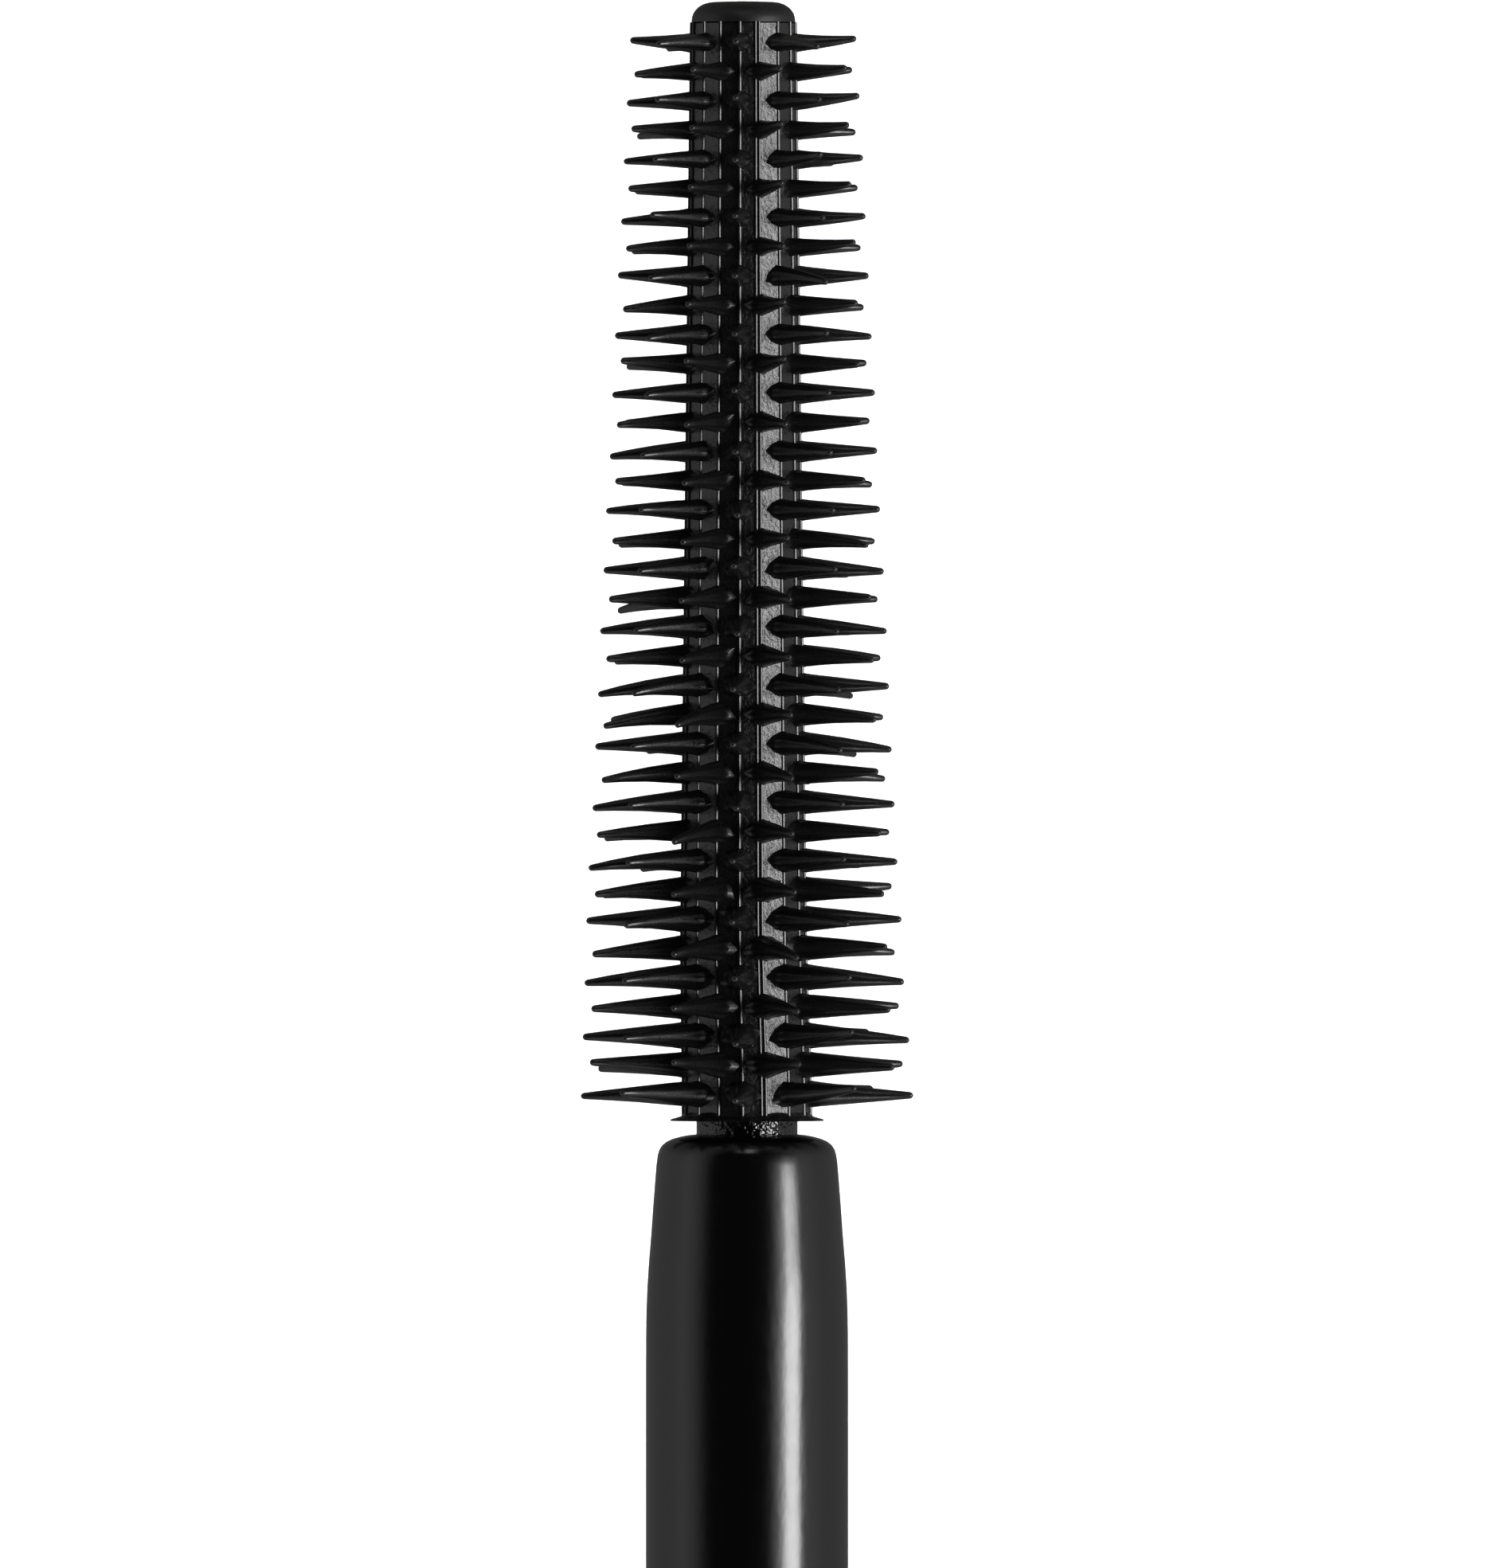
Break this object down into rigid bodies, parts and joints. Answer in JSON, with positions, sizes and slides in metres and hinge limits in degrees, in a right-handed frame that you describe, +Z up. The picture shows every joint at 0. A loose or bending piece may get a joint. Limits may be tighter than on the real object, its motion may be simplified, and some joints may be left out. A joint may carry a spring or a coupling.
{
  "type": "mascara",
  "caption": "Opened mascara: a round tube with a threaded neck and wiper, and its screw cap with a stem and a tapered moulded bristle brush laid in line with it.",
  "frame": {"origin": "centre of the object's footprint on the surface it lies on, with the cap and tube laid in one line", "axes": "+X along the common axis from the closed end of the cap to the base of the tube, +Z up"},
  "size_m": [0.203, 0.0166, 0.0166],
  "materials": {
    "bristle_elastomer": "glossy satin moulded elastomer",
    "core_plastic": "satin moulded plastic, fine spark-eroded grain on the neck",
    "stem_plastic": "polished moulded plastic",
    "barrel_plastic": "gloss black moulded plastic",
    "liner_plastic": "plain moulded polypropylene",
    "bottle_plastic": "smooth blow-moulded plastic",
    "collar_metal": "dark anodised satin aluminium",
    "weight_steel": "turned steel",
    "seal_rubber": "soft matt seal",
    "wiper_rubber": "soft translucent elastomer",
    "label_paper": "blank coated label"
  },
  "bodies": {
    "tube": {"bottle": "bottle_plastic", "wiper": "wiper_rubber", "tube_collar": "collar_metal", "tube_sleeve": "barrel_plastic", "base_plug": "barrel_plastic", "base_label": "label_paper"},
    "cap_seal": {"cap_gasket": "seal_rubber"},
    "applicator": {"cap_shell": "barrel_plastic", "cap_end_disc": "collar_metal", "cap_weight": "weight_steel", "inner_cap": "liner_plastic", "stem": "stem_plastic", "brush_core": "core_plastic", "bristle_sleeve": "bristle_elastomer"}
  },
  "joints": [
    {"name": "pull_out", "type": "slide", "parent": "tube", "child": "cap_seal", "axis": [-1, 0, 0], "range_m": [-0.0828, 0], "deforming": ["wiper"]},
    {"name": "cap_turn", "type": "hinge", "parent": "cap_seal", "child": "applicator", "pos_m": [-0.0643, 0, 0.0083], "axis": [-1, 0, 0], "range_deg": [-360, 0]}
  ]
}
